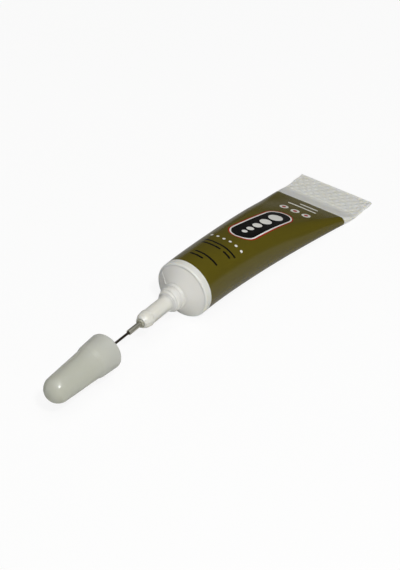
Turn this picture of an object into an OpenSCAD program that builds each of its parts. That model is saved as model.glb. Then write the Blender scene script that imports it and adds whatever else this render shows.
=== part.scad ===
// Glue tube with a needle nozzle, lying on its belly, and its pin cap drawn off along the nozzle's axis

/* [Sleeve] */
// Outside diameter of the round front end
sleeve_d = 19; // [17:0.5:25]
// Length from the front rim to the end of the tail
sleeve_len = 86; // [60:1:110]
// Wall of the sleeve
sleeve_wall = 0.5; // [0.4:0.05:0.7]
// Radius of the lip that is rolled over the shoulder
lip_r = 1.1; // [0.8:0.1:1.4]
// Swell of the filled body, where 1 is a straight wedge
fullness = 1.55; // [1:0.05:2]

/* [Tail seal] */
// Length of the flat seal
seal_len = 10; // [8:1:18]
// Ribs pressed across the seal
seal_ribs = 7; // [3:1:10]
// Depth of the valleys between the ribs
rib_depth = 0.12; // [0.05:0.01:0.18]

/* [Shoulder] */
// Rise of the conical shoulder to the seat of the cap
cone_rise = 2.8; // [1.5:0.1:3.5]
// Depth of the skirt inside the sleeve
skirt_depth = 4; // [3:0.5:8]
// Wall of the shoulder and its skirt
head_wall = 1; // [0.8:0.1:1.4]
// Diameter of the neck at the root of its thread
neck_d = 7.4; // [7:0.1:9]
// Height of the neck above the seat of the cap
neck_len = 4.8; // [4:0.2:7]
// Height of the thread above its root
thread_h = 0.45; // [0.3:0.05:0.7]

/* [Nozzle] */
// Diameter of the nozzle
nozzle_d = 5; // [4.8:0.1:6]
// Straight length of the nozzle above the neck
nozzle_len = 9.5; // [5:0.5:14]
// Length of the rounded nose
nose_len = 3.6; // [2.5:0.1:5]
// Diameter of the hub at the end of the nose
hub_d = 2.9; // [2.6:0.1:3.4]
// Length of the hub
hub_len = 0.4; // [0.2:0.1:1]
// Diameter of the spigot in the neck
spigot_d = 4.6; // [4.2:0.1:4.7]
// Depth of the spigot in the neck
spigot_depth = 5.4; // [4:0.1:5.6]
// Ledge under the needle in the nozzle
needle_ledge = 0.15; // [0.1:0.01:0.25]

/* [Needle] */
// Outside diameter of the needle
needle_d = 1.65; // [1.5:0.05:2]
// Bore of the needle
needle_bore = 1.1; // [1:0.05:1.2]
// Length that stands out of the hub
needle_out = 5.2; // [3:0.1:7]
// Length held in the nozzle
needle_seat = 6; // [4:0.5:8]

/* [Cap] */
// Diameter at the mouth
mouth_d = 11.9; // [11.4:0.1:13]
// Diameter of the skirt where the step starts
skirt_d = 11; // [10.8:0.1:12]
// Length of the skirt
skirt_len = 7.3; // [6.5:0.1:9]
// Length of the blended step
step_len = 1.3; // [1:0.1:3]
// Diameter of the body above the step
body_d = 10.1; // [9.6:0.1:10.7]
// Diameter of the body where the dome starts
dome_d = 8.6; // [8.2:0.1:9.4]
// Wall of the cap
cap_wall = 1.15; // [0.9:0.05:1.3]
// Diameter of the boss that holds the pin
boss_d = 3.4; // [2.8:0.1:4]
// Length from the foot of the boss to the end of the dome
boss_len = 3.1; // [2.6:0.1:6]

/* [Pin] */
// Diameter of the pin
pin_d = 0.8; // [0.6:0.05:0.9]
// Length that stands out of the mouth of the cap
pin_out = 12; // [8:0.5:20]
// Cover of the dome over the end of the pin
pin_cover = 0.9; // [0.6:0.1:1.2]
// Length of the pin that is still in the needle in the pose shown
pin_hold = 2; // [1:0.5:4]

/* [Clearances] */
// Between pieces that are pressed or moulded together
press_gap = 0.02; // [0.01:0.01:0.05]
// Between the sleeve and the shoulder welded into it
weld_gap = 0.06; // [0.04:0.01:0.1]
// Between the crest of the thread and the bore of the cap
thread_gap = 0.2; // [0.1:0.05:0.3]
// Between the seated cap and what it stops against
seat_gap = 0.1; // [0.05:0.05:0.3]
// Between the tip of the needle and the boss when the cap is home
boss_gap = 0.5; // [0.3:0.1:1]
// Round the adhesive
fill_gap = 0.15; // [0.1:0.05:0.3]
// Round the pin in the well that it leaves in the adhesive
well_gap = 0.4; // [0.2:0.1:0.8]

/* [Hidden] */
$fn = 96;

// Points in a ring of the sleeve, rings along its taper and rings round its lip
ring_n = 48;
taper_n = 12;
lip_n = 3;
// Least height of the hollow where the walls come together
slit = 0.2;
// Chamfers of the neck, the needle and the pin
neck_edge = 0.4;
needle_edge = 0.12;
pin_edge = 0.15;
// Points along the blended step
step_n = 8;
// Spare length of a cut that runs out of a solid
over = 1;

sleeve_r = sleeve_d / 2;
seal_x = sleeve_len - seal_len;
// The sleeve stays round over the skirt of the shoulder
round_len = skirt_depth + weld_gap;
taper_len = seal_x - round_len;
lip_edge_r = sleeve_r - lip_r;
mouth_r = mouth_d / 2;
neck_r = neck_d / 2;
neck_top = cone_rise + neck_len;
nose_foot = neck_top + nozzle_len;
hub_foot = nose_foot + nose_len;
hub_top = hub_foot + hub_len;
needle_tip = hub_top + needle_out;
// Places of the mouth of the cap along the axis, home on its seat and in the pose shown
mouth_home = cone_rise + seat_gap;
mouth_rest = needle_tip - pin_hold + pin_out;
boss_foot = needle_tip - mouth_home + boss_gap;
// The cap is as long as the nozzle and the needle need
cap_len = boss_foot + boss_len;
pin_top = cap_len - pin_cover;
dome_z = cap_len - dome_d / 2;
thread_bore_r = neck_r + thread_h + thread_gap;
// The cone ends just outside the bore of the cap, so the mouth of the cap stops on it
seat_r = thread_bore_r + seat_gap;
thread_bore_len = neck_len + seat_gap + boss_gap;
pin_reach = pin_out - mouth_home;
// Middle of the whole length, which stands over the origin
mid_x = (mouth_rest + cap_len - sleeve_len) / 2;

// Half height of the sleeve at a share u of its taper
function half_height(u) = sleeve_r - (sleeve_r - sleeve_wall) * pow(u, fullness);
// Half of the flat stretch that keeps the distance round the sleeve the same
function half_flat(t) = PI / 2 * (sleeve_r - t);
// Share of the taper at which the half height has fallen to t
function taper_share(t) = pow((sleeve_r - t) / (sleeve_r - sleeve_wall), 1 / fullness);
function taper_x(u) = -round_len - u * taper_len;

// A round-ended ring across the axis at x: half height t, half flat stretch s, middle at height z
function ring(x, t, s, z) = [
    for (i = [0:ring_n - 1])
        let (a = 360 * (i + 0.5) / ring_n)
        [x - mid_x, t * cos(a) + sign(cos(a)) * s, z + t * sin(a) / cos(180 / ring_n)]
];
// The ring of the taper at u, drawn in by a gap all round
function taper_ring(u, gap) =
    let (t = half_height(u))
    ring(taper_x(u), t - gap, half_flat(t), t);
// A round ring of the lip, a degrees up a quarter turn of radius r
function lip_ring(r, a) = ring(r * sin(a) - lip_r, lip_edge_r + r * cos(a), 0, sleeve_r);

// A solid skinned over rings that follow each other, closed at the first and the last
module skin(rings) {
    last = len(rings) - 1;
    points = [for (r = rings) each r];
    sides = [
        for (k = [0:last - 1], i = [0:ring_n - 1])
            let (j = (i + 1) % ring_n, a = k * ring_n, b = a + ring_n)
            each [[a + i, a + j, b + j], [a + i, b + j, b + i]]
    ];
    first_cap = [for (i = [ring_n - 1:-1:0]) i];
    last_cap = [for (i = [0:ring_n - 1]) last * ring_n + i];
    polyhedron(points, concat([first_cap], sides, [last_cap]));
}

// Lays a piece that is turned about Z, with the rim of the sleeve at z = 0, along the axis of the tube
module along_axis(z = 0) {
    translate([z - mid_x, 0, sleeve_r]) rotate([0, 90, 0]) children();
}

// Half profile of a straight round stretch, or a hole, between two heights
module bar(r, z0, z1) {
    translate([0, z0]) square([r, z1 - z0]);
}

// The printed sleeve: hollow inside up to the tail, lip, swelling taper, then the ribbed seal
module sleeve() {
    end_u = taper_share(sleeve_wall + slit / 2);
    rib_pitch = seal_len / seal_ribs;
    inside = [for (k = [taper_n:-1:0]) taper_ring(end_u * k / taper_n, sleeve_wall)];
    lip_inside = [for (k = [0:lip_n]) lip_ring(lip_r - sleeve_wall, 90 * k / lip_n)];
    lip_outside = [for (k = [lip_n:-1:0]) lip_ring(lip_r, 90 * k / lip_n)];
    outside = [for (k = [0:taper_n]) taper_ring(k / taper_n, 0)];
    flat = half_flat(sleeve_wall);
    seal = [
        for (k = [0:seal_ribs - 1], crest = [0, 1])
            let (x = -seal_x - (k + (crest + 1) / 2) * rib_pitch)
            ring(x, sleeve_wall - rib_depth * (1 - crest), flat, sleeve_wall)
    ];
    color("#565016") skin(concat(inside, lip_inside, lip_outside, outside, seal));
}

// The moulded head: a skirt welded in the sleeve, a cone up to the seat of the cap, and the neck
module shoulder() {
    skirt_r = sleeve_r - sleeve_wall - weld_gap;
    edge_r = lip_edge_r - weld_gap;
    under_lip = -sleeve_wall - weld_gap;
    bore_r = spigot_d / 2 + press_gap;
    color("#f2f2ee") along_axis() rotate_extrude() {
        polygon([
            [skirt_r - head_wall, -skirt_depth],
            [skirt_r, -skirt_depth],
            [skirt_r, -lip_r],
            [lip_edge_r, under_lip],
            [edge_r, under_lip],
            [edge_r, 0],
            [seat_r, cone_rise],
            [neck_r, cone_rise],
            [neck_r, neck_top - neck_edge],
            [neck_r - neck_edge, neck_top],
            [bore_r, neck_top],
            [bore_r, cone_rise - head_wall],
            [seat_r, cone_rise - head_wall],
            [skirt_r - head_wall, -head_wall]
        ]);
        intersection() {
            translate([lip_edge_r, -lip_r]) circle(lip_r - sleeve_wall - weld_gap);
            translate([lip_edge_r, -lip_r]) square(lip_r);
        }
    }
}

// The nozzle: a spigot in the neck, a straight barrel, a rounded nose and a hub round the needle
module nozzle() {
    nozzle_r = nozzle_d / 2;
    hub_r = hub_d / 2;
    drop = nozzle_r - hub_r;
    nose_r = (drop * drop + nose_len * nose_len) / (2 * drop);
    seat_foot = hub_top - needle_seat - press_gap;
    color("#e6e7e0") along_axis() rotate_extrude() difference() {
        union() {
            bar(spigot_d / 2, neck_top - spigot_depth, neck_top + press_gap);
            bar(nozzle_r, neck_top + press_gap, nose_foot);
            intersection() {
                translate([nozzle_r - nose_r, nose_foot]) circle(nose_r);
                bar(nozzle_r, nose_foot, hub_foot);
            }
            bar(hub_r, hub_foot, hub_top);
        }
        bar(needle_d / 2 + press_gap, seat_foot, hub_top + over);
        bar(needle_d / 2 - needle_ledge, neck_top - spigot_depth - over, hub_top);
    }
}

// The steel needle, with its outer edge broken at the tip
module needle() {
    needle_r = needle_d / 2;
    foot = hub_top - needle_seat;
    color("#9a9a98") along_axis() rotate_extrude() polygon([
        [needle_bore / 2, foot],
        [needle_r, foot],
        [needle_r, needle_tip - needle_edge],
        [needle_r - needle_edge, needle_tip],
        [needle_bore / 2, needle_tip]
    ]);
}

// The glue behind the shoulder, with the blind channel that the pin leaves in it
module adhesive() {
    gap = sleeve_wall + fill_gap;
    front_u = max(0, fill_gap - weld_gap) / taper_len;
    end_u = taper_share(gap + slit);
    rings = [for (k = [0:taper_n]) taper_ring(front_u + (end_u - front_u) * k / taper_n, gap)];
    color("#dcdccb") difference() {
        skin(rings);
        along_axis(-pin_reach - over) cylinder(d = pin_d + 2 * well_gap, h = pin_reach + over);
    }
}

// Point of the cap's outline at a share u of the blended step
function step_point(u) = [
    skirt_d / 2 + (body_d - skirt_d) / 2 * u * u * (3 - 2 * u),
    skirt_len + step_len * u
];

// The cap: skirt, blended step, tapered body and dome, hollow, with the boss that holds the pin
module cap_shell() {
    body_r = body_d / 2;
    dome_r = dome_d / 2;
    step_top = skirt_len + step_len;
    inner_dome_r = dome_r - cap_wall;
    color("#e9eae4") along_axis(mouth_rest) rotate_extrude() difference() {
        union() {
            polygon([
                [0, 0],
                [mouth_r, 0],
                for (k = [0:step_n]) step_point(k / step_n),
                [dome_r, dome_z],
                [0, dome_z]
            ]);
            intersection() {
                translate([0, dome_z]) circle(dome_r);
                bar(dome_r, dome_z, cap_len);
            }
        }
        difference() {
            union() {
                bar(thread_bore_r, -over, thread_bore_len);
                polygon([
                    [0, 0],
                    [body_r - cap_wall, 0],
                    [body_r - cap_wall, step_top],
                    [inner_dome_r, dome_z],
                    [0, dome_z]
                ]);
                intersection() {
                    translate([0, dome_z]) circle(inner_dome_r);
                    bar(inner_dome_r, dome_z, cap_len);
                }
            }
            bar(boss_d / 2, boss_foot, cap_len);
        }
        bar(pin_d / 2 + press_gap, boss_foot - over, pin_top + press_gap);
    }
}

// The steel pin, with both ends broken
module cap_pin() {
    pin_r = pin_d / 2;
    color("#4a4640") along_axis(mouth_rest) rotate_extrude() polygon([
        [0, -pin_out],
        [pin_r - pin_edge, -pin_out],
        [pin_r, pin_edge - pin_out],
        [pin_r, pin_top - pin_edge],
        [pin_r - pin_edge, pin_top],
        [0, pin_top]
    ]);
}

sleeve();
shoulder();
nozzle();
needle();
adhesive();
cap_shell();
cap_pin();
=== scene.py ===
"""Looks of the glue tube: printed sleeve, moulded head, needle nozzle and pin cap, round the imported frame."""
import math

import bpy
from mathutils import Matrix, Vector


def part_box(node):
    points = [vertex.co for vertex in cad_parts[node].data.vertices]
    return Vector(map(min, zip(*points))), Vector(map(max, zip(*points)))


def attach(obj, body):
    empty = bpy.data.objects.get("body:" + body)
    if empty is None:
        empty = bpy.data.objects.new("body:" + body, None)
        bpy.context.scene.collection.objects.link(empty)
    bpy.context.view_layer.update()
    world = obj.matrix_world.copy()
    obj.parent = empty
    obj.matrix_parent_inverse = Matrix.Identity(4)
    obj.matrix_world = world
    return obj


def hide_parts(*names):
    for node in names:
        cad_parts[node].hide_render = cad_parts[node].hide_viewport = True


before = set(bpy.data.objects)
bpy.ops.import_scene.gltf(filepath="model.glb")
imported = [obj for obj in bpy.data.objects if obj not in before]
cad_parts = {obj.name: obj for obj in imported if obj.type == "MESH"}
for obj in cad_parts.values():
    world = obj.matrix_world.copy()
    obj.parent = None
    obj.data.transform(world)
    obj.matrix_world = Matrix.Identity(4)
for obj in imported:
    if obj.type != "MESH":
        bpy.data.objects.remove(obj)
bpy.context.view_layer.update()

MM = 0.001

# Places read from the frame: the tail, the rim of the sleeve, the axis and the mouth of the cap
sleeve_low, sleeve_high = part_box("sleeve")
cap_low, cap_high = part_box("cap_shell")
pin_low, pin_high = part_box("cap_pin")
needle_low, needle_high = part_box("needle")
TAIL_X = sleeve_low.x
RIM_X = sleeve_high.x
SLEEVE_R = sleeve_high.z / 2
AXIS_Z = SLEEVE_R
SLEEVE_LEN = RIM_X - TAIL_X
SLEEVE_ROUND = 2 * math.pi * SLEEVE_R
MOUTH_X = cap_low.x
CAP_LEN = cap_high.x - cap_low.x

# Sleeve
WALL = 0.5 * MM
LIP_R = 0.7 * MM
LIP_EDGE_R = SLEEVE_R - LIP_R
ROUND_LEN = 4.06 * MM
SEAL_LEN = 10 * MM
FULLNESS = 1.55
TAPER_LEN = SLEEVE_LEN - SEAL_LEN - ROUND_LEN
SLIT = 0.1 * MM

# Rings along its hollow, each side of its lip, its taper and its seal, and faces round a ring
HOLLOW_STEPS = 24
LIP_STEPS = 8
TAPER_STEPS = 56
SEAL_STEPS = 84
SLEEVE_FACES = 360

# Diamond knurl pressed into the seal, and the stretches over which it fades at the sides, start and end
KNURL_PITCH = 2.8 * MM
KNURL_DEPTH = 0.2 * MM
KNURL_EDGE = 1.4 * MM
KNURL_START = 0.8 * MM
KNURL_END = 0.6 * MM

# Dip across the wall in front of the seal, and the crease that stands up near each side edge of the top
DIP_DEPTH = 0.22 * MM
DIP_AHEAD = 0.9 * MM
DIP_REACH = 1.3 * MM
DIP_EDGE = 4 * MM
CREASE_HEIGHT = 0.22 * MM
CREASE_SIDE = 11.4 * MM
CREASE_WIDTH = 0.5 * MM
CREASE_AHEAD = 1.2 * MM
CREASE_REACH = 1.5 * MM

# Share by which the seal draws in its side edges, how far that wavers, and where it begins and is full
SEAL_PULL = 0.022
PULL_WAVER = 0.006
PULL_WAVE = 0.9 * MM
PULL_PHASE = 1.7
PULL_AHEAD = 3 * MM
PULL_FULL = 2.5 * MM

# Dents that fingers left in the soft wall: place from the rim, place round, length, width and depth
DENTS = [
    (-50 * MM, 11 * MM, 9 * MM, 4 * MM, 0.3 * MM),
    (-31 * MM, 14 * MM, 12 * MM, 4 * MM, 0.2 * MM),
    (-60 * MM, -9 * MM, 8 * MM, 5 * MM, 0.3 * MM),
    (-22 * MM, -14 * MM, 10 * MM, 4 * MM, 0.2 * MM),
]

# Print, in mm: places are back from the rim and across from the middle of the label
BAND_LEN = 2.6
PRINT_END = 70.5
LABEL_SIDE = 1.5
OLIVE = "#5b5212"
OLIVE_DEEP = "#574e10"
PRINT_BLACK = "#0b0a08"
PRINT_WHITE = "#e9e8e2"
PRINT_RED = "#a3231a"
BARE_WHITE = "#e2e2dc"

# Marks of the label: middle, half sizes, corner radius, and each ink with the gap to the edge where it begins
PANEL_INKS = [(0, PRINT_RED), (-0.45, PRINT_WHITE), (-0.95, PRINT_BLACK)]
DISC_R = 1.5
DISC_INKS = [(0, PRINT_WHITE), (-0.75, PRINT_RED)]
DOT_R = 0.5
WHITE_RULE_HALF = 0.4
BLACK_RULE_HALF = 0.36
ROUND_MARK = (0, 0)
MARKS = [((40, 0), (9.4, 0), 5.1, PANEL_INKS)]
# Drops on the panel, smaller towards the nozzle
MARKS += [((back, 0), ROUND_MARK, radius, [(0, PRINT_WHITE)])
          for back, radius in ((48.2, 2.4), (42.6, 2.0), (37.9, 1.6), (34.0, 1.25), (30.9, 0.95))]
# A row of discs behind the panel and a row of dots in front of it
MARKS += [((59.5, across), ROUND_MARK, DISC_R, DISC_INKS) for across in (-4.4, 0, 4.4)]
MARKS += [((21.5, across), ROUND_MARK, DOT_R, [(0, PRINT_WHITE)]) for across in (-6, -3.6, -1.2, 1.2, 3.6, 6)]
# Rules across the tail end and the nozzle end
MARKS += [(middle, (0, half), WHITE_RULE_HALF, [(0, PRINT_WHITE)])
          for middle, half in (((64.6, -0.6), 5.2), ((67.2, 0.4), 3.2))]
MARKS += [(middle, (0, half), BLACK_RULE_HALF, [(0, PRINT_BLACK)])
          for middle, half in (((17.6, 0), 6.4), ((15.6, -2), 3.4), ((15.6, 4.4), 1.2), ((9.5, 1), 4.2),
                               ((7.5, -1.5), 2.2))]

# Head, measured from the rim
SKIRT_DEPTH = 4 * MM
SKIRT_GAP = 0.06 * MM
HEAD_WALL = 1 * MM
LIP_GAP = 0.01 * MM
EDGE_DROP = 0.02 * MM
CONE_CHAMFER = 0.12 * MM
CONE_RISE = 2.8 * MM
SEAT_R = 4.45 * MM
SEAT_RISE = 0.25 * MM
NECK_R = 3.7 * MM
NECK_DRAFT = 0.1 * MM
NECK_TOP = 7.6 * MM
SPIGOT_R = 2.32 * MM

# Thread of the neck; that of the cap starts at the same turn and makes as many turns
THREAD_FOOT = 2.85 * MM
THREAD_PITCH = 2.4 * MM
THREAD_START = math.radians(-100)
THREAD_TURNS = 1.7
THREAD_H = 0.45 * MM
THREAD_W = 1.3 * MM
THREAD_SINK = 0.03 * MM
THREAD_ROWS = 200

# Lines that the halves of the moulds left: turns from the top towards +Y, widths and heights
CONE_LINE_TURN = math.radians(-62)
CONE_LINE_W = 0.3 * MM
CONE_LINE_H = 0.18 * MM
BARREL_LINE_TURNS = {"right": math.radians(98), "left": math.radians(-82)}
BARREL_LINE_W = 0.24 * MM
BARREL_LINE_H = 0.04 * MM
LINE_ROWS = 40
LINE_FADE = 0.03

# Ends of these lines: on the cone along and in from its foot, and back and out from its top,
# and on the barrel from the neck and before the nose
CONE_LINE_FOOT = (0.08 * MM, 0.3 * MM)
CONE_LINE_TOP = (0.1 * MM, 0.15 * MM)
BARREL_LINE_FOOT = 0.8 * MM
BARREL_LINE_TOP = 0.4 * MM

# Nozzle and needle, measured from the rim
PLUG_DEPTH = 5 * MM
FLANGE_H = 0.12 * MM
FLANGE_DRAFT = 0.05 * MM
FILLET_LEN = 0.75 * MM
BARREL_R = 2.5 * MM
BARREL_FOOT_R = 3.15 * MM
NOSE_R = 2.7 * MM
NOSE_FOOT = 17.1 * MM
NOSE_STEP = 0.35 * MM
NOSE_LEN = 1.9 * MM
NOSE_DRAFT = 0.22 * MM
HUB_FOOT = 20.4 * MM
HUB_TOP = 21.1 * MM
HUB_R = 1.45 * MM
NOSE_END_DROP = 0.05 * MM
NOSE_END_R = HUB_R + 0.36 * MM
BOND_SINK = 0.02 * MM
BOND_SEAT_R = HUB_R + 0.05 * MM
BOND_FOOT_R = HUB_R + 0.06 * MM
BOND_TOP_R = HUB_R - 0.08 * MM
BOND_CROWN = 0.12 * MM
NEEDLE_R = 0.825 * MM
NEEDLE_BORE_R = 0.55 * MM
NEEDLE_SEAT = 6 * MM
CHANNEL_R = NEEDLE_R - 0.15 * MM
PRESS_GAP = 0.02 * MM

# Cap, measured from its mouth
MOUTH_R = 5.95 * MM
MOUTH_ROUND = 1.2 * MM
SKIRT_R = 5.5 * MM
SKIRT_LEN = 7.3 * MM
STEP_LEN = 1.5 * MM
STEP_ROUND = 0.9 * MM
BODY_R = 5.05 * MM
DOME_R = 4.3 * MM
CAP_WALL = 1.15 * MM
CAP_BORE_R = 4.35 * MM
CAP_BORE_LEN = 5.4 * MM
CAP_THREAD_FOOT = 1 * MM
CAP_THREAD_RISE = 3.6 * MM
CAP_THREAD_W = 0.9 * MM
CAP_THREAD_H = 0.15 * MM
CAP_THREAD_SINK = 0.02 * MM
BOSS_R = 1.7 * MM
BOSS_FOOT = 23.9 * MM
BOSS_CLEAR = 0.1 * MM
PIN_R = 0.4 * MM
DOME_STEPS = 16
INNER_DOME_STEPS = 12
# The cap is painted a little whiter from its mouth up to the first of these, and has its plain colour from the
# second on
WHITEST_TO = 3 * MM
PLAIN_FROM = 14 * MM

# Faces round the turned pieces and the ridges, and the share of a path over which its direction is taken
ROUND_STEPS = 96
NARROW_STEPS = 64
PIN_STEPS = 48
RIDGE_FACES = 16
NEARBY = 0.001

# Distances under which points are merged, faces are slivers and a point lies on the axis
MERGE_GAP = 0.002 * MM
SLIVER = 0.001 * MM
ON_AXIS = 0.0001 * MM

# Grain of the materials, and how far the roughness varies over it. The grain of the mouldings and
# the lines of the drawn steel are too fine to show at their real size, so they are drawn coarser.
MOULD_GRAIN = 0.6 * MM
MOULD_SATIN = 0.03
DRAWN_LINE_LEN = 6 * MM
DRAWN_LINE_W = 0.12 * MM
DRAWN_SATIN = 0.08
INK_PEEL = 1.6 * MM
INK_CLOUD_MM = 9
BARE_ROUGHNESS = 0.33
INK_ROUGHNESS = 0.2

# Photograph and camera: height of the frame, direction and scale of the view, sensor, clipping and aim
FRAME_H = 570
VIEW_SIDE = math.radians(53)
VIEW_RISE = math.radians(37)
PX_PER_MM = 3.2
FOCAL_PX = 2000
SENSOR_H = 24
NEAR_CLIP = 0.01
FAR_CLIP = 10
AIM = Vector((0.002, 0, 0.006))

# Floor and room: the floor is duller in mirrors than in soft light, so that glossy print keeps its colour
FLOOR_SIZE = 3
FLOOR_WHITE = "#f0f0ee"
FLOOR_IN_MIRRORS = "#b4b4b2"
PURE_WHITE = "#ffffff"
SEEN_GLOW = 0.9
MIRROR_GLOW = 0.06
ROOM_LIGHT = 0.06

# Lamps: name, distance from the tube, shares towards the camera, to the right and up, size and power
LAMPS = [
    ("key flash", 0.72, (1, 0.2, 0.28), 0.08, 2.8),
    ("fill softbox", 0.9, (1, 0.1, 0.8), 0.9, 3.5),
    ("low back softbox", 0.9, (-0.9, -0.4, 0.5), 0.6, 0.22),
]


def blend(low, high, value):
    """Smooth step from 0 at low to 1 at high."""
    share = min(max((value - low) / (high - low), 0), 1)
    return share * share * (3 - 2 * share)


def bell(distance, reach):
    """Bell curve that is 1 at no distance and about a third at the reach."""
    return math.exp(-(distance / reach) ** 2)


def select_only(piece):
    bpy.ops.object.select_all(action="DESELECT")
    piece.select_set(True)
    bpy.context.view_layer.objects.active = piece


def close_up(piece, smooth_angle=40):
    """Merges seams and poles, turns the faces outwards and shades the rounded stretches smooth."""
    select_only(piece)
    bpy.ops.object.mode_set(mode="EDIT")
    bpy.ops.mesh.select_all(action="SELECT")
    bpy.ops.mesh.remove_doubles(threshold=MERGE_GAP)
    bpy.ops.mesh.dissolve_degenerate(threshold=SLIVER)
    bpy.ops.mesh.normals_make_consistent(inside=False)
    bpy.ops.object.mode_set(mode="OBJECT")
    bpy.ops.object.shade_smooth_by_angle(angle=math.radians(smooth_angle))
    return piece


def rolled(name, rows, columns, place):
    """A flat grid laid on a form: place(along, around) gives the point for shares 0 to 1 of its sides."""
    bpy.ops.object.select_all(action="DESELECT")
    bpy.ops.mesh.primitive_grid_add(x_subdivisions=rows, y_subdivisions=columns, size=1, calc_uvs=True)
    sheet = bpy.context.object
    sheet.name = sheet.data.name = name
    for vertex in sheet.data.vertices:
        vertex.co = place(vertex.co.x + 0.5, vertex.co.y + 0.5)
    return sheet


def rounded(corners, arc_steps=6):
    """An outline through (along, radius, rounding) corners, each rounded by an arc."""
    outline = []
    for before, corner, after in zip(corners[-1:] + corners[:-1], corners, corners[1:] + corners[:1]):
        at, rounding = Vector(corner[:2]), corner[2]
        if rounding == 0:
            outline.append(at)
            continue
        back = (Vector(before[:2]) - at).normalized()
        on = (Vector(after[:2]) - at).normalized()
        half = back.angle(on) / 2
        centre = at + (back + on).normalized() * rounding / math.sin(half)
        start = at + back * rounding / math.tan(half) - centre
        end = at + on * rounding / math.tan(half) - centre
        sweep = math.atan2(start.cross(end), start.dot(end))
        first = math.atan2(start.y, start.x)
        turns = [first + sweep * k / arc_steps for k in range(arc_steps + 1)]
        outline += [centre + rounding * Vector((math.cos(turn), math.sin(turn))) for turn in turns]
    return outline


def turned(name, outline, foot_x, steps=ROUND_STEPS):
    """Spins an outline of (along, radius) points about the axis, with along = 0 at foot_x."""
    bpy.ops.object.select_all(action="DESELECT")
    bpy.ops.mesh.primitive_circle_add(vertices=len(outline), radius=SLEEVE_R, fill_type="NOTHING")
    piece = bpy.context.object
    piece.name = piece.data.name = name
    for vertex, (along, radius) in zip(piece.data.vertices, outline):
        vertex.co = (foot_x + along, 0, AXIS_Z + radius)
    on_axis = [abs(vertex.co.z - AXIS_Z) < ON_AXIS for vertex in piece.data.vertices]
    bpy.ops.object.mode_set(mode="EDIT")
    bpy.ops.mesh.select_mode(type="EDGE")
    bpy.ops.mesh.select_all(action="DESELECT")
    bpy.ops.object.mode_set(mode="OBJECT")
    for edge in piece.data.edges:
        edge.select = all(on_axis[i] for i in edge.vertices)
    bpy.ops.object.mode_set(mode="EDIT")
    bpy.ops.mesh.delete(type="EDGE")
    bpy.ops.mesh.select_all(action="SELECT")
    bpy.ops.mesh.spin(steps=steps, angle=2 * math.pi, center=(0, 0, AXIS_Z), axis=(1, 0, 0))
    bpy.ops.object.mode_set(mode="OBJECT")
    return close_up(piece)


def off_axis(turn):
    """Unit vector away from the axis, a turn from the top line towards +Y."""
    return Vector((0, math.sin(turn), math.cos(turn)))


def round_axis(turn, radius, x):
    """Point at a radius about the axis, a turn from the top line towards +Y."""
    return Vector((x, radius * math.sin(turn), AXIS_Z + radius * math.cos(turn)))


def ridge(name, path, out, width, height, rows, fade=0.12):
    """A low ridge of half-round section along path(share), which stands on out(share)
    and fades over a share of its length at both ends."""
    def place(along, around):
        turn = 2 * math.pi * around
        ahead = (path(min(along + NEARBY, 1)) - path(max(along - NEARBY, 0))).normalized()
        away = out(along)
        across = ahead.cross(away)
        grown = math.sqrt(blend(0, fade, along) * blend(0, fade, 1 - along))
        return path(along) + grown * (across * width / 2 * math.cos(turn) + away * height * math.sin(turn))
    return close_up(rolled(name, rows, RIDGE_FACES, place), smooth_angle=60)


# Sleeve

def half_height(share):
    """Half height of the sleeve at a share of its taper."""
    return SLEEVE_R - (SLEEVE_R - WALL) * share ** FULLNESS


def on_section(across, half):
    """Point (y, z) and outward normal, at a distance round the sleeve from its top line,
    on a section of that half height that lies on the floor."""
    flat = math.pi / 2 * (SLEEVE_R - half)
    side = math.copysign(1, across)
    gone = abs(across)
    if gone <= flat:
        return (side * gone, 2 * half), (0, 1)
    if gone >= flat + math.pi * half:
        return (side * (2 * flat + math.pi * half - gone), 0), (0, -1)
    turn = (gone - flat) / half
    point = (side * (flat + half * math.sin(turn)), half + half * math.cos(turn))
    return point, (side * math.sin(turn), math.cos(turn))


def sleeve_rings():
    """Rings of the sleeve from the end of its hollow, round the lip, to the end of the tail:
    (x from the rim, radius or half height, half height of the whole section, outside)."""
    rings = []
    hollow_end = ((SLEEVE_R - WALL - SLIT) / (SLEEVE_R - WALL)) ** (1 / FULLNESS)
    for k in range(HOLLOW_STEPS + 1):
        share = hollow_end * (1 - k / HOLLOW_STEPS)
        whole = half_height(share)
        rings.append((-ROUND_LEN - share * TAPER_LEN, whole - WALL, whole, False))
    lip_turns = [math.pi / 2 * k / LIP_STEPS for k in range(LIP_STEPS + 1)]
    for radius, turns, outside in ((LIP_R - WALL, lip_turns, False), (LIP_R, lip_turns[::-1], True)):
        for turn in turns:
            rings.append((radius * math.sin(turn) - LIP_R, LIP_EDGE_R + radius * math.cos(turn),
                          SLEEVE_R, outside))
    for k in range(TAPER_STEPS + 1):
        share = k / TAPER_STEPS
        whole = half_height(share)
        rings.append((-ROUND_LEN - share * TAPER_LEN, whole, whole, True))
    for k in range(1, SEAL_STEPS + 1):
        rings.append((-ROUND_LEN - TAPER_LEN - SEAL_LEN * k / SEAL_STEPS, WALL, WALL, True))
    return rings


RINGS = sleeve_rings()
# Distance of each ring along the skin; the small sum keeps rings at one place apart
SKIN_AT = [0.0]
for (last_x, last_r, *_), (next_x, next_r, *_) in zip(RINGS, RINGS[1:]):
    SKIN_AT.append(SKIN_AT[-1] + math.hypot(next_x - last_x, next_r - last_r) + SLIVER)
SKIN_LEN = SKIN_AT[-1]
# Place on the skin that is level with the rim, as if the lip were unrolled straight
first_taper = next(i for i, ring in enumerate(RINGS) if ring[3] and ring[0] <= -ROUND_LEN)
RIM_SKIN = SKIN_AT[first_taper] - ROUND_LEN


def from_side_edge(across):
    """Distance from the side edge of the flat tail."""
    return math.pi / 2 * SLEEVE_R - abs(across)


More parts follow.
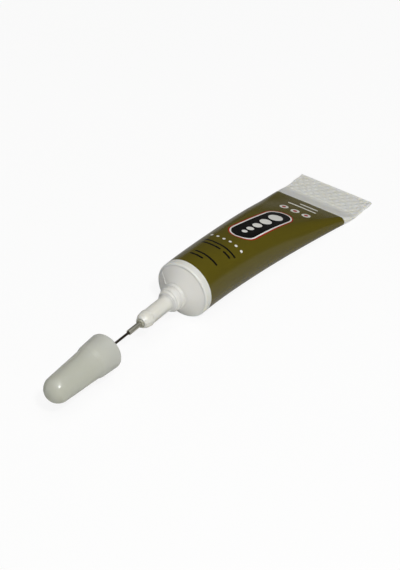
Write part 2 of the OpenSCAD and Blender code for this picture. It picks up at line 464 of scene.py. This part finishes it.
def knurl(into_seal, across):
    """Depth of the diamond knurl at a distance from the start of the seal and from the middle of the tail."""
    if into_seal <= 0:
        return 0
    one = 2 * math.pi * (into_seal + across) / KNURL_PITCH
    other = 2 * math.pi * (into_seal - across) / KNURL_PITCH
    stud = (0.5 + 0.5 * math.cos(one)) * (0.5 + 0.5 * math.cos(other))
    edge = blend(0, KNURL_EDGE, from_side_edge(across))
    ends = blend(0, KNURL_START, into_seal) * blend(0, KNURL_END, SEAL_LEN - into_seal)
    return KNURL_DEPTH * (1 - stud) * edge * ends


def pucker(into_seal, across, on_top):
    """Depth of the dip in front of the seal, less the crease near each side edge of the top."""
    dip = DIP_DEPTH * bell(into_seal + DIP_AHEAD, DIP_REACH) * blend(0, DIP_EDGE, from_side_edge(across))
    crease = CREASE_HEIGHT * bell(abs(across) - CREASE_SIDE, CREASE_WIDTH)
    return dip - crease * bell(into_seal + CREASE_AHEAD, CREASE_REACH) * on_top


def pulled_in(into_seal, side):
    """Share by which the seal draws in its side edges, which are a little uneven."""
    start = blend(-PULL_AHEAD, PULL_FULL, into_seal)
    return start * (SEAL_PULL + PULL_WAVER * math.sin(into_seal / PULL_WAVE + PULL_PHASE * side))


def dent(x, across):
    """Depth of the finger dents at a place from the rim and round the sleeve."""
    return sum(deep * bell(x - at_x, long) * bell(across - at_side, wide)
               for at_x, at_side, long, wide, deep in DENTS)


def on_sleeve(along, around):
    """Point of the sleeve at shares 0 to 1 of its rings and of the way round it."""
    x, radius, whole, outside = RINGS[round(along * (len(RINGS) - 1))]
    across = (around - 0.5) * SLEEVE_ROUND
    into_seal = -ROUND_LEN - TAPER_LEN - x
    if whole == SLEEVE_R:
        turn = across / SLEEVE_R
        normal = (math.sin(turn), math.cos(turn))
        y, z = radius * normal[0], AXIS_Z + radius * normal[1]
    else:
        (y, z), normal = on_section(across, whole)
        inset = whole - radius
        y, z = y - normal[0] * inset, z - normal[1] * inset
    if outside:
        on_top = abs(across) < SLEEVE_ROUND / 4
        off_middle = across if on_top else math.copysign(SLEEVE_ROUND / 2, across) - across
        pressed = dent(x, across) + knurl(into_seal, off_middle) + pucker(into_seal, off_middle, on_top)
        y, z = y - normal[0] * pressed, z - normal[1] * pressed
    y *= 1 - pulled_in(into_seal, math.copysign(1, y))
    return RIM_X + x, y, z


def make_sleeve():
    """The sleeve as one skin, with its UV map true to length, closed at both ends of the skin."""
    sleeve = rolled("printed_sleeve", len(RINGS) - 1, SLEEVE_FACES, on_sleeve)
    skin = sleeve.data.uv_layers[0]
    for corner in skin.data:
        along, around = corner.uv
        corner.uv = (SKIN_AT[round(along * (len(RINGS) - 1))] / SKIN_LEN, around)
    select_only(sleeve)
    bpy.ops.object.mode_set(mode="EDIT")
    bpy.ops.mesh.select_all(action="SELECT")
    bpy.ops.mesh.remove_doubles(threshold=SLIVER)
    bpy.ops.mesh.select_all(action="DESELECT")
    bpy.ops.mesh.select_mode(type="EDGE")
    bpy.ops.mesh.select_non_manifold()
    bpy.ops.mesh.edge_face_add()
    bpy.ops.object.mode_set(mode="OBJECT")
    return close_up(sleeve, smooth_angle=50)


# Materials

# Inputs of a colour Mix node, and its output
SHARE, UNDER, OVER = 0, 6, 7
MIXED = 2


def linear(hex_colour):
    """Linear colour of an sRGB hex value."""
    parts = [int(hex_colour[i:i + 2], 16) / 255 for i in (1, 3, 5)]
    return [p / 12.92 if p <= 0.04045 else ((p + 0.055) / 1.055) ** 2.4 for p in parts] + [1.0]


def add_node(tree, kind, settings=None, links=None):
    """Adds a node. The settings are its inputs by name or number, or its own properties,
    and the links are its linked inputs."""
    node = tree.nodes.new(kind)
    for name, value in (settings or {}).items():
        if isinstance(name, int) or name in node.inputs:
            node.inputs[name].default_value = value
        else:
            setattr(node, name, value)
    for name, socket in (links or {}).items():
        tree.links.new(socket, node.inputs[name])
    return node


def new_material(name):
    """An empty material, and its node tree."""
    material = bpy.data.materials.new(name)
    material.use_nodes = True
    material.node_tree.nodes.clear()
    return material, material.node_tree


def cloudy_plastic(name, colour, roughness, depth, whiter_end=None):
    """Cloudy moulded plastic, resin or glue: light goes a depth in and softens the shading, and a fine
    uneven satin breaks the gloss. whiter_end is a whiter colour painted over one end, and the places
    along X where it begins and is full."""
    material, tree = new_material(name)
    place = add_node(tree, "ShaderNodeTexCoord")
    grain = add_node(tree, "ShaderNodeTexNoise", {"Scale": 1 / MOULD_GRAIN, "Detail": 3},
                     {"Vector": place.outputs["Object"]})
    bump = add_node(tree, "ShaderNodeBump", {"Strength": 0.05, "Distance": 0.05 * MM},
                    {"Height": grain.outputs["Fac"]})
    shine = add_node(tree, "ShaderNodeMapRange",
                     {"To Min": roughness - MOULD_SATIN, "To Max": roughness + MOULD_SATIN},
                     {"Value": grain.outputs["Fac"]})
    shader = add_node(tree, "ShaderNodeBsdfPrincipled",
                      {"Base Color": linear(colour), "IOR": 1.51, "Subsurface Weight": 1.0,
                       "Subsurface Radius": (1.0, 0.97, 0.88), "Subsurface Scale": depth},
                      {"Normal": bump.outputs["Normal"], "Roughness": shine.outputs["Result"]})
    # A whiter colour painted over one end, fading along X
    if whiter_end:
        whiter_colour, begins, full = whiter_end
        parts = add_node(tree, "ShaderNodeSeparateXYZ", {}, {"Vector": place.outputs["Object"]})
        whitening = add_node(tree, "ShaderNodeMapRange",
                             {"interpolation_type": "SMOOTHSTEP", "From Min": begins, "From Max": full},
                             {"Value": parts.outputs["X"]})
        tint = add_node(tree, "ShaderNodeMix",
                        {"data_type": "RGBA", UNDER: linear(colour), OVER: linear(whiter_colour)},
                        {SHARE: whitening.outputs["Result"]})
        tree.links.new(tint.outputs[MIXED], shader.inputs["Base Color"])
    add_node(tree, "ShaderNodeOutputMaterial", {}, {"Surface": shader.outputs[0]})
    return material


def drawn_steel(name, colour, roughness):
    """Drawn steel: fine lines along the wire and a narrow bright streak."""
    material, tree = new_material(name)
    place = add_node(tree, "ShaderNodeTexCoord")
    stretched = add_node(tree, "ShaderNodeMapping",
                         {"Scale": (1 / DRAWN_LINE_LEN, 1 / DRAWN_LINE_W, 1 / DRAWN_LINE_W)},
                         {"Vector": place.outputs["Object"]})
    lines = add_node(tree, "ShaderNodeTexNoise", {"Scale": 1.0, "Detail": 2},
                     {"Vector": stretched.outputs["Vector"]})
    bump = add_node(tree, "ShaderNodeBump", {"Strength": 0.15, "Distance": 0.02 * MM},
                    {"Height": lines.outputs["Fac"]})
    shine = add_node(tree, "ShaderNodeMapRange",
                     {"To Min": roughness - DRAWN_SATIN, "To Max": roughness + DRAWN_SATIN},
                     {"Value": lines.outputs["Fac"]})
    shader = add_node(tree, "ShaderNodeBsdfPrincipled", {"Base Color": linear(colour), "Metallic": 1.0},
                      {"Normal": bump.outputs["Normal"], "Roughness": shine.outputs["Result"]})
    add_node(tree, "ShaderNodeOutputMaterial", {}, {"Surface": shader.outputs[0]})
    return material


def gap_to(tree, place, middle, half, radius):
    """Distance in mm from a place on the label to a round-cornered mark, which has a middle,
    half sizes and a corner radius; it is negative inside the mark."""
    from_middle = add_node(tree, "ShaderNodeVectorMath", {"operation": "SUBTRACT", 1: (*middle, 0)},
                           {0: place})
    folded = add_node(tree, "ShaderNodeVectorMath", {"operation": "ABSOLUTE"}, {0: from_middle.outputs[0]})
    past = add_node(tree, "ShaderNodeVectorMath", {"operation": "SUBTRACT", 1: (*half, 0)},
                    {0: folded.outputs[0]})
    outside = add_node(tree, "ShaderNodeVectorMath", {"operation": "MAXIMUM", 1: (0, 0, 0)},
                       {0: past.outputs[0]})
    length = add_node(tree, "ShaderNodeVectorMath", {"operation": "LENGTH"}, {0: outside.outputs[0]})
    gap = add_node(tree, "ShaderNodeMath", {"operation": "SUBTRACT", 1: radius}, {0: length.outputs["Value"]})
    return gap.outputs[0]


def printed_sleeve_material():
    """Olive gloss ink over white polyethylene: a dark glossy body with a panel, drops, discs, dots and
    rules, and bare satin white at the front band and the tail."""
    material, tree = new_material("printed polyethylene sleeve")
    skin = add_node(tree, "ShaderNodeUVMap")
    parts = add_node(tree, "ShaderNodeSeparateXYZ", {}, {"Vector": skin.outputs["UV"]})
    back = add_node(tree, "ShaderNodeMath",
                    {"operation": "MULTIPLY_ADD", 1: SKIN_LEN / MM, 2: -RIM_SKIN / MM},
                    {0: parts.outputs["X"]})
    label_middle = -SLEEVE_ROUND / 2 / MM - LABEL_SIDE
    side = add_node(tree, "ShaderNodeMath",
                    {"operation": "MULTIPLY_ADD", 1: SLEEVE_ROUND / MM, 2: label_middle},
                    {0: parts.outputs["Y"]})
    label = add_node(tree, "ShaderNodeCombineXYZ", {}, {"X": back.outputs[0], "Y": side.outputs[0]})

    # Each ink covers what lies under it
    cloud = add_node(tree, "ShaderNodeTexNoise", {"Scale": 1 / INK_CLOUD_MM, "Detail": 1},
                     {"Vector": label.outputs[0]})
    colour = add_node(tree, "ShaderNodeMix",
                      {"data_type": "RGBA", UNDER: linear(OLIVE), OVER: linear(OLIVE_DEEP)},
                      {SHARE: cloud.outputs["Fac"]}).outputs[MIXED]
    for middle, half, radius, inks in MARKS:
        gap = gap_to(tree, label.outputs[0], middle, half, radius)
        for begins, ink in inks:
            inside = add_node(tree, "ShaderNodeMath", {"operation": "LESS_THAN", 1: begins}, {0: gap})
            colour = add_node(tree, "ShaderNodeMix", {"data_type": "RGBA", OVER: linear(ink)},
                              {SHARE: inside.outputs[0], UNDER: colour}).outputs[MIXED]

    # Bare white at the front band and the tail
    printed = add_node(tree, "ShaderNodeMath",
                       {"operation": "COMPARE", 1: (PRINT_END + BAND_LEN) / 2, 2: (PRINT_END - BAND_LEN) / 2},
                       {0: back.outputs[0]})
    ground = add_node(tree, "ShaderNodeMix", {"data_type": "RGBA", UNDER: linear(BARE_WHITE)},
                      {SHARE: printed.outputs[0], OVER: colour})
    depth = add_node(tree, "ShaderNodeMapRange", {"To Min": 1.0, "To Max": 0.0},
                     {"Value": printed.outputs[0]})
    place = add_node(tree, "ShaderNodeTexCoord")
    peel = add_node(tree, "ShaderNodeTexNoise", {"Scale": 1 / INK_PEEL, "Detail": 2},
                    {"Vector": place.outputs["Object"]})
    bump = add_node(tree, "ShaderNodeBump", {"Strength": 0.06, "Distance": 0.05 * MM},
                    {"Height": peel.outputs["Fac"]})
    shine = add_node(tree, "ShaderNodeMapRange", {"To Min": BARE_ROUGHNESS, "To Max": INK_ROUGHNESS},
                     {"Value": printed.outputs[0]})
    shader = add_node(tree, "ShaderNodeBsdfPrincipled",
                      {"IOR": 1.5, "Subsurface Radius": (1.0, 0.95, 0.8), "Subsurface Scale": 0.5 * MM},
                      {"Base Color": ground.outputs[MIXED], "Roughness": shine.outputs[0],
                       "Normal": bump.outputs[0], "Subsurface Weight": depth.outputs[0]})
    add_node(tree, "ShaderNodeOutputMaterial", {}, {"Surface": shader.outputs[0]})
    return material


# Pieces

sleeve = make_sleeve()
sleeve.data.materials.append(printed_sleeve_material())
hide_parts("sleeve")
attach(sleeve, "tube")

cone_edge_r = LIP_EDGE_R - LIP_GAP
lip_floor = -WALL - SKIRT_GAP
skirt_r = SLEEVE_R - WALL - SKIRT_GAP
head = turned("head", rounded([
    (-SKIRT_DEPTH, skirt_r - HEAD_WALL, 0.2 * MM),
    (-SKIRT_DEPTH, skirt_r, 0.2 * MM),
    (-LIP_R, skirt_r, 0),
    (lip_floor, LIP_EDGE_R, 0),
    (lip_floor, cone_edge_r, 0),
    (-EDGE_DROP, cone_edge_r, 0.01 * MM),
    (0, cone_edge_r - CONE_CHAMFER, 0.1 * MM),
    (CONE_RISE, SEAT_R, 0.5 * MM),
    (CONE_RISE + SEAT_RISE, NECK_R, 0.35 * MM),
    (NECK_TOP, NECK_R - NECK_DRAFT, 0.8 * MM),
    (NECK_TOP, SPIGOT_R, 0.05 * MM),
    (CONE_RISE - HEAD_WALL, SPIGOT_R, 0),
    (CONE_RISE - HEAD_WALL, SEAT_R, 0),
    (-HEAD_WALL, skirt_r - HEAD_WALL, 0.3 * MM),
]), RIM_X)
# Opaque white polyethylene: a clean white with a soft satin gloss
white_polyethylene = cloudy_plastic("white moulded polyethylene", "#e3e2dd", roughness=0.3, depth=0.4 * MM)
head.data.materials.append(white_polyethylene)
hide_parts("shoulder")
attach(head, "tube")


def thread_turn(share):
    return THREAD_START + 2 * math.pi * THREAD_TURNS * share


def on_neck_thread(share):
    return round_axis(thread_turn(share), NECK_R - THREAD_SINK,
                      RIM_X + THREAD_FOOT + THREAD_PITCH * THREAD_TURNS * share)


def off_neck(share):
    return off_axis(thread_turn(share))


thread = ridge("neck_thread", on_neck_thread, off_neck, THREAD_W, THREAD_H, THREAD_ROWS)
thread.data.materials.append(white_polyethylene)
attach(thread, "tube")

# The line that the halves of the mould left down the cone
cone_foot_r = cone_edge_r - CONE_LINE_FOOT[1]
cone_foot = round_axis(CONE_LINE_TURN, cone_foot_r, RIM_X + CONE_LINE_FOOT[0])
cone_top = round_axis(CONE_LINE_TURN, SEAT_R + CONE_LINE_TOP[1], RIM_X + CONE_RISE - CONE_LINE_TOP[0])
cone_lean = math.atan2(CONE_RISE, cone_foot_r - SEAT_R)
off_cone = Vector((math.cos(cone_lean), 0, 0)) + math.sin(cone_lean) * off_axis(CONE_LINE_TURN)
seam = ridge("mould_line", lambda share: cone_foot.lerp(cone_top, share), lambda share: off_cone,
             CONE_LINE_W, CONE_LINE_H, LINE_ROWS, LINE_FADE)
seam.data.materials.append(white_polyethylene)
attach(seam, "tube")

nozzle = turned("needle_nozzle", rounded([
    (NECK_TOP - PLUG_DEPTH, CHANNEL_R, 0),
    (NECK_TOP - PLUG_DEPTH, SPIGOT_R - PRESS_GAP, 0.2 * MM),
    (NECK_TOP + PRESS_GAP, SPIGOT_R - PRESS_GAP, 0),
    (NECK_TOP + PRESS_GAP, BARREL_FOOT_R, 0.02 * MM),
    (NECK_TOP + FLANGE_H, BARREL_FOOT_R - FLANGE_DRAFT, 0.05 * MM),
    (NECK_TOP + FILLET_LEN, BARREL_R, 1.2 * MM),
    (NOSE_FOOT - NOSE_STEP, BARREL_R, 0.15 * MM),
    (NOSE_FOOT, NOSE_R, 0.12 * MM),
    (NOSE_FOOT + NOSE_LEN, NOSE_R - NOSE_DRAFT, 1.6 * MM),
    (HUB_FOOT - NOSE_END_DROP, NOSE_END_R, 0.3 * MM),
    (HUB_FOOT + BOND_SINK, BOND_SEAT_R, 0.1 * MM),
    (HUB_FOOT + BOND_SINK, NEEDLE_R + PRESS_GAP, 0),
    (HUB_TOP - NEEDLE_SEAT, NEEDLE_R + PRESS_GAP, 0),
    (HUB_TOP - NEEDLE_SEAT, CHANNEL_R, 0),
]), RIM_X)
# Milky polyethylene: light goes further in than in the head, and the gloss is duller
milky_polyethylene = cloudy_plastic("milky moulded polyethylene", "#e1e0d8", roughness=0.36, depth=1.5 * MM)
nozzle.data.materials.append(milky_polyethylene)
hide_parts("nozzle")
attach(nozzle, "tube")

# The lines that the halves of the mould left along the barrel, half a turn apart
for side, line_turn in BARREL_LINE_TURNS.items():
    line_foot = round_axis(line_turn, BARREL_R, RIM_X + NECK_TOP + BARREL_LINE_FOOT)
    line_end = round_axis(line_turn, BARREL_R, RIM_X + NOSE_FOOT - BARREL_LINE_TOP)
    off_barrel = off_axis(line_turn)
    barrel_line = ridge("barrel_line_" + side, lambda share: line_foot.lerp(line_end, share),
                        lambda share: off_barrel, BARREL_LINE_W, BARREL_LINE_H, LINE_ROWS, LINE_FADE)
    barrel_line.data.materials.append(milky_polyethylene)
    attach(barrel_line, "tube")

# The bead that bonds the needle into the end of the nozzle
bond = turned("needle_bond", rounded([
    (HUB_FOOT, NEEDLE_R + PRESS_GAP, 0),
    (HUB_FOOT, BOND_FOOT_R, 0),
    (HUB_TOP - BOND_CROWN, BOND_TOP_R, 0.3 * MM),
    (HUB_TOP, NEEDLE_R + PRESS_GAP, 0.1 * MM),
]), RIM_X, NARROW_STEPS)
# A glossy bead, painted a greyish colour darker than the nozzle
resin = cloudy_plastic("hardened bonding resin", "#a3a395", roughness=0.22, depth=0.5 * MM)
bond.data.materials.append(resin)
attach(bond, "tube")

needle_len = needle_high.x - needle_low.x
needle = turned("steel_needle", rounded([
    (0, NEEDLE_BORE_R, 0.05 * MM),
    (0, NEEDLE_R, 0.05 * MM),
    (needle_len, NEEDLE_R, 0.12 * MM),
    (needle_len, NEEDLE_BORE_R, 0.08 * MM),
]), needle_low.x, NARROW_STEPS)
# Drawn stainless tube: a bright, slightly warm grey
needle.data.materials.append(drawn_steel("drawn stainless steel", "#dcd9ca", roughness=0.42))
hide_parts("needle")
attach(needle, "tube")


def dome(radius, mid, steps):
    """Quarter round of a dome from its foot to its tip on the axis."""
    turns = [math.pi / 2 * k / steps for k in range(steps + 1)]
    return [Vector((mid + radius * math.sin(turn), radius * math.cos(turn))) for turn in turns]


dome_mid = CAP_LEN - DOME_R
inner_dome_r = DOME_R - CAP_WALL
pin_end = pin_high.x - MOUTH_X + PRESS_GAP
boss_meets = dome_mid + math.sqrt(inner_dome_r ** 2 - BOSS_R ** 2)
# The first and the last corner only lead in and out
skirt = rounded([
    (CAP_BORE_LEN, CAP_BORE_R, 0),
    (0, CAP_BORE_R, 0.3 * MM),
    (0, MOUTH_R, MOUTH_ROUND),
    (SKIRT_LEN, SKIRT_R, STEP_ROUND),
    (SKIRT_LEN + STEP_LEN, BODY_R, STEP_ROUND),
    (dome_mid, DOME_R, 0),
])[1:-1]
boss = [Vector(point) for point in (
    (pin_end, 0),
    (pin_end, PIN_R + PRESS_GAP),
    (BOSS_FOOT, PIN_R + PRESS_GAP),
    (BOSS_FOOT, BOSS_R),
    (boss_meets, BOSS_R),
)]
outer_dome = dome(DOME_R, dome_mid, DOME_STEPS)
inner_dome = [point for point in dome(inner_dome_r, dome_mid, INNER_DOME_STEPS)
              if point.y > BOSS_R + BOSS_CLEAR]
inner_wall = [Vector(point) for point in (
    (SKIRT_LEN + STEP_LEN, BODY_R - CAP_WALL),
    (CAP_BORE_LEN, BODY_R - CAP_WALL),
    (CAP_BORE_LEN, CAP_BORE_R),
)]
cap = turned("screw_cap", skirt + outer_dome + boss + inner_dome[::-1] + inner_wall, MOUTH_X)
# Milky polyethylene with a glossy skin: light goes deep in, a lamp stays a small sharp spot,
# and the end at the mouth is painted a little whiter, fading out over the step
cap_polyethylene = cloudy_plastic("milky cap polyethylene", "#bfc0b4", roughness=0.23, depth=3 * MM,
                                  whiter_end=("#c5c6be", MOUTH_X + PLAIN_FROM, MOUTH_X + WHITEST_TO))
cap.data.materials.append(cap_polyethylene)
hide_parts("cap_shell")
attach(cap, "cap")


def on_cap_thread(share):
    return round_axis(thread_turn(share), CAP_BORE_R + CAP_THREAD_SINK,
                      MOUTH_X + CAP_THREAD_FOOT + CAP_THREAD_RISE * share)


# The cap's own thread, low enough to pass the thread of the neck at any turn
cap_thread = ridge("cap_thread", on_cap_thread, lambda share: -off_neck(share),
                   CAP_THREAD_W, CAP_THREAD_H, THREAD_ROWS)
cap_thread.data.materials.append(cap_polyethylene)
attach(cap_thread, "cap")

pin_len = pin_high.x - pin_low.x
pin = turned("steel_pin", rounded([
    (0, 0, 0),
    (0, PIN_R, 0.2 * MM),
    (pin_len, PIN_R, 0.1 * MM),
    (pin_len, 0, 0),
]), pin_low.x, PIN_STEPS)
# Dark steel wire: a brownish grey with a soft light along it
pin.data.materials.append(drawn_steel("dark steel wire", "#5c5348", roughness=0.4))
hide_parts("cap_pin")
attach(pin, "pin")

# Clear thick glue, which the sleeve hides: pale, wet and glossy
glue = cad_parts["adhesive"]
glue.data.materials.clear()
glue.data.materials.append(cloudy_plastic("clear viscous glue", "#dcdccb", roughness=0.1, depth=3 * MM))


# Floor, light and camera

bpy.ops.object.select_all(action="DESELECT")
bpy.ops.mesh.primitive_plane_add(size=FLOOR_SIZE)
floor = bpy.context.object
floor.name = "floor"
floor_material, floor_tree = new_material("white studio floor")
rays = add_node(floor_tree, "ShaderNodeLightPath")
seen = add_node(floor_tree, "ShaderNodeMath", {"operation": "MAXIMUM"},
                {0: rays.outputs["Is Camera Ray"], 1: rays.outputs["Is Transmission Ray"]})
mirrored = add_node(floor_tree, "ShaderNodeMath", {"operation": "MULTIPLY", 1: MIRROR_GLOW},
                    {0: rays.outputs["Is Glossy Ray"]})
glow_share = add_node(floor_tree, "ShaderNodeMath", {"operation": "MULTIPLY_ADD", 1: SEEN_GLOW},
                      {0: seen.outputs[0], 2: mirrored.outputs[0]})
paint = add_node(floor_tree, "ShaderNodeMix",
                 {"data_type": "RGBA", UNDER: linear(FLOOR_WHITE), OVER: linear(FLOOR_IN_MIRRORS)},
                 {SHARE: rays.outputs["Is Glossy Ray"]})
matt = add_node(floor_tree, "ShaderNodeBsdfDiffuse", {}, {"Color": paint.outputs[MIXED]})
glow = add_node(floor_tree, "ShaderNodeEmission", {"Color": linear(PURE_WHITE), "Strength": 1.0})
mixed = add_node(floor_tree, "ShaderNodeMixShader", {},
                 {0: glow_share.outputs[0], 1: matt.outputs[0], 2: glow.outputs[0]})
add_node(floor_tree, "ShaderNodeOutputMaterial", {}, {"Surface": mixed.outputs[0]})
floor.data.materials.append(floor_material)

# The room is dim round the object and white to the eye
world = bpy.data.worlds.new("studio")
bpy.context.scene.world = world
world.use_nodes = True
world_tree = world.node_tree
world_tree.nodes.clear()
world_rays = add_node(world_tree, "ShaderNodeLightPath")
world_seen = add_node(world_tree, "ShaderNodeMath", {"operation": "MAXIMUM"},
                      {0: world_rays.outputs["Is Camera Ray"], 1: world_rays.outputs["Is Transmission Ray"]})
world_glow = add_node(world_tree, "ShaderNodeMapRange", {"To Min": ROOM_LIGHT, "To Max": 1.0},
                      {"Value": world_seen.outputs[0]})
backdrop = add_node(world_tree, "ShaderNodeBackground", {"Color": linear(PURE_WHITE)},
                    {"Strength": world_glow.outputs[0]})
add_node(world_tree, "ShaderNodeOutputWorld", {}, {"Surface": backdrop.outputs[0]})


def area_lamp(name, place, size, watts):
    """A round lamp that faces the point at which the camera aims."""
    lamp = bpy.data.lights.new(name, "AREA")
    lamp.shape = "DISK"
    lamp.size = size
    lamp.energy = watts
    carrier = bpy.data.objects.new(name, lamp)
    bpy.context.collection.objects.link(carrier)
    carrier.location = place
    carrier.rotation_euler = (AIM - place).to_track_quat("-Z", "Y").to_euler()


view_from = Vector((math.cos(VIEW_RISE) * math.sin(VIEW_SIDE), math.cos(VIEW_RISE) * math.cos(VIEW_SIDE),
                    math.sin(VIEW_RISE)))
view_right = Vector((-math.cos(VIEW_SIDE), math.sin(VIEW_SIDE), 0))
view_up = view_from.cross(view_right)
for lamp_name, distance, (near, right, up), size, watts in LAMPS:
    direction = (near * view_from + right * view_right + up * view_up).normalized()
    area_lamp(lamp_name, AIM + distance * direction, size, watts)

camera = bpy.data.cameras.new("photograph")
camera.sensor_fit = "VERTICAL"
camera.sensor_height = SENSOR_H
camera.lens = FOCAL_PX / FRAME_H * SENSOR_H
camera.clip_start = NEAR_CLIP
camera.clip_end = FAR_CLIP
viewer = bpy.data.objects.new("photograph", camera)
bpy.context.collection.objects.link(viewer)
viewer.location = AIM + view_from * (FOCAL_PX / PX_PER_MM * MM)
viewer.rotation_euler = (-view_from).to_track_quat("-Z", "Y").to_euler()
bpy.context.scene.camera = viewer
bpy.context.scene.view_settings.view_transform = "Standard"
